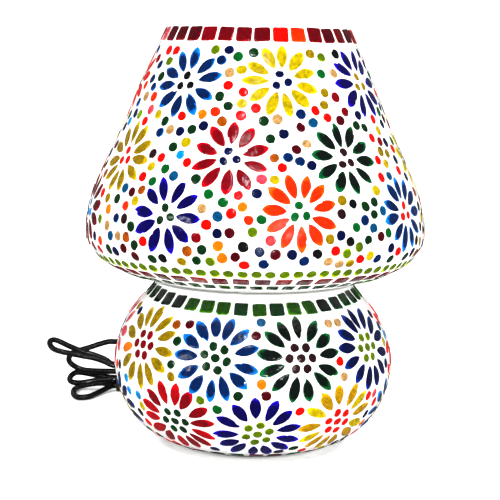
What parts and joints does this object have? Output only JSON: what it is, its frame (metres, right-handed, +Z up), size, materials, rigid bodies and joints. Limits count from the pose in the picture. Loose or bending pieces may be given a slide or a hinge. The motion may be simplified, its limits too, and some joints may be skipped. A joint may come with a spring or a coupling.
{
  "type": "mosaic glass table lamp",
  "caption": "Handmade mosaic table lamp: an open-topped mushroom shade of tiled glass resting on a round tiled glass pot, with a screw-in bulb and black flex.",
  "frame": {"origin": "centre of the foot on the table top", "axes": "+Z up along the lamp's axis, -Y towards the front, +X to the right seen from the front; the flex leaves the back"},
  "size_m": [0.2473, 0.2942, 0.254],
  "materials": {
    "mosaic": "glossy white grout with flush coloured glass pieces",
    "clear_glass": "clear blown glass",
    "opal_glass": "satin opal glass",
    "black_rubber": "matt black rubber",
    "felt": "black felt",
    "black_pvc": "glossy black PVC sheath",
    "black_plastic": "semi-gloss black moulding",
    "clear_rubber": "milky silicone",
    "zinc_steel": "zinc plated steel",
    "brass": "rolled brass",
    "nickel": "nickel plate",
    "porcelain": "white porcelain",
    "tungsten": "dull tungsten wire"
  },
  "bodies": {
    "root": {"base_glass": "clear_glass", "base_mosaic_skin": "mosaic", "foot_pad": "felt", "shade_seat_gasket": "clear_rubber", "flex_bush": "black_rubber", "threaded_tube": "zinc_steel", "washer_rubber_lower": "black_rubber", "washer_steel_lower": "zinc_steel", "nut_lower": "zinc_steel", "washer_rubber_upper": "black_rubber", "washer_steel_upper": "zinc_steel", "nut_upper": "zinc_steel", "holder_cap": "black_plastic", "holder_lock_nut": "brass", "holder_ceramic_core": "porcelain", "holder_terminal_screw_live": "brass", "holder_terminal_screw_neutral": "brass", "holder_screw_shell": "brass", "holder_sleeve": "black_plastic", "flex_lamp_side": "black_pvc", "flex_plug_side": "black_pvc", "flex_tie": "black_plastic", "switch_case_lower": "black_plastic", "switch_case_upper": "black_plastic", "switch_case_screw_near": "zinc_steel", "switch_case_screw_far": "zinc_steel", "switch_pivot_pin": "zinc_steel", "switch_terminal_in": "brass", "switch_terminal_out": "brass", "switch_contact_strip": "brass", "plug_body": "black_plastic", "plug_pin_near": "nickel", "plug_pin_far": "nickel"},
    "shade": {"shade_glass": "clear_glass", "shade_mosaic_skin": "mosaic"},
    "bulb_tip": {"bulb_tip_contact": "nickel"},
    "bulb": {"bulb_globe": "opal_glass", "bulb_cap_shell": "nickel", "bulb_cap_insulator": "black_plastic", "bulb_glass_stem": "clear_glass", "bulb_filament": "tungsten"},
    "contact": {"holder_centre_contact": "brass"},
    "rocker": {"switch_rocker": "black_plastic"}
  },
  "joints": [
    {"name": "shade_lift", "type": "slide", "parent": "root", "child": "shade", "axis": [0, 0, 1], "range_m": [0, 0.18]},
    {"name": "bulb_rise", "type": "slide", "parent": "root", "child": "bulb_tip", "axis": [0, 0, 1], "range_m": [0, 0.018]},
    {"name": "bulb_turn", "type": "hinge", "parent": "bulb_tip", "child": "bulb", "pos_m": [0, 0, 0.09], "axis": [0, 0, 1], "range_deg": [0, 1785]},
    {"name": "contact_press", "type": "slide", "parent": "root", "child": "contact", "axis": [0, 0, 1], "range_m": [-0.001, 0], "stiffness_N_per_m": 600},
    {"name": "rocker_tip", "type": "hinge", "parent": "root", "child": "rocker", "pos_m": [0.018, 0.124, 0.0096], "axis": [0, 1, 0], "range_deg": [0, 20]}
  ],
  "couplings": [
    {"joint": "bulb_rise", "follows": "bulb_turn", "m_per_rad": 0.0005776}
  ]
}
